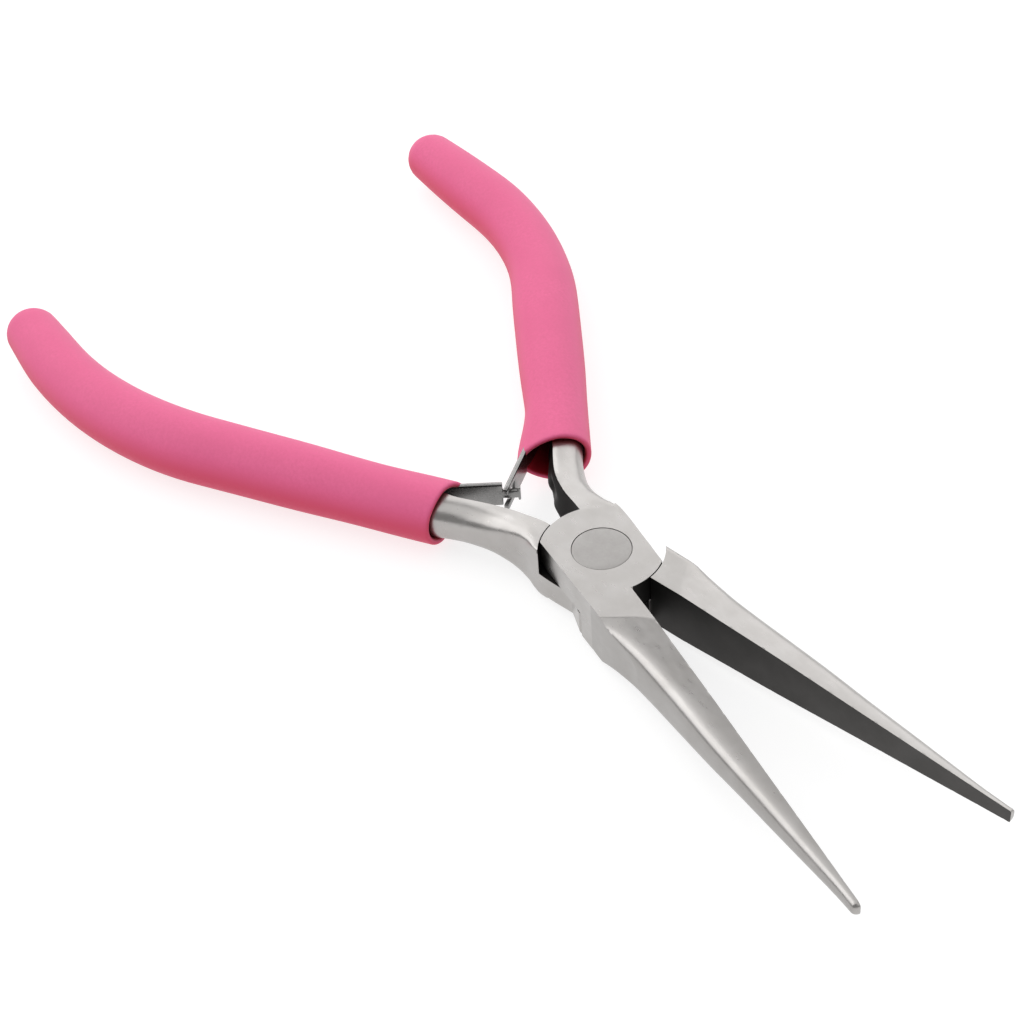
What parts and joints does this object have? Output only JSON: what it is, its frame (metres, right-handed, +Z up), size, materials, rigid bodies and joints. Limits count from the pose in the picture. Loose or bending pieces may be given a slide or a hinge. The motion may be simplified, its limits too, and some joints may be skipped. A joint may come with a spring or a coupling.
{
  "type": "long nose jewellery pliers",
  "caption": "Slim jewellery pliers with tapering half-round jaws, a riveted lap joint, leaf return springs and soft sleeves on bowed handles.",
  "frame": {"origin": "on the pivot axis, on the underside of the joint", "axes": "+Z up along the pivot axis, +X towards the jaw tips along the line that halves the open jaws, +Y towards the handle of the upper half"},
  "size_m": [0.1502, 0.0766, 0.0092],
  "materials": {
    "steel": "satin ground steel, darker on the faces that meet when the tool is shut",
    "rivet_steel": "satin steel, ground flush with the joint",
    "spring_steel": "bright rolled spring steel",
    "grip_vinyl": "soft matt pink vinyl, deep red inside the open mouth"
  },
  "bodies": {
    "lever_a": {"lever_a": "steel", "pivot_rivet": "rivet_steel", "leaf_rivet_a": "spring_steel", "grip_a": "grip_vinyl"},
    "lever_b": {"lever_b": "steel", "leaf_rivet_b": "spring_steel", "grip_b": "grip_vinyl"},
    "leaf_a": {"leaf_spring_a": "spring_steel"},
    "leaf_b": {"leaf_spring_b": "spring_steel"}
  },
  "joints": [
    {"name": "plier_pivot", "type": "hinge", "parent": "lever_a", "child": "lever_b", "pos_m": [0, 0, 0], "axis": [0, 0, 1], "range_deg": [-20.4, 3], "stiffness_Nm_per_rad": 1},
    {"name": "leaf_a_flex", "type": "hinge", "parent": "lever_a", "child": "leaf_a", "pos_m": [-0.02953, 0.0132, 0.0037], "axis": [0, 0, 1], "range_deg": [-3.5, 16], "deforming": ["leaf_spring_a"]},
    {"name": "leaf_b_flex", "type": "hinge", "parent": "lever_b", "child": "leaf_b", "pos_m": [-0.02794, -0.01164, 0.0037], "axis": [0, 0, 1], "range_deg": [-14, 3], "deforming": ["leaf_spring_b"]}
  ],
  "couplings": [
    {"joint": "leaf_a_flex", "follows": "plier_pivot", "ratio": -0.745},
    {"joint": "leaf_b_flex", "follows": "plier_pivot", "ratio": 0.66}
  ]
}
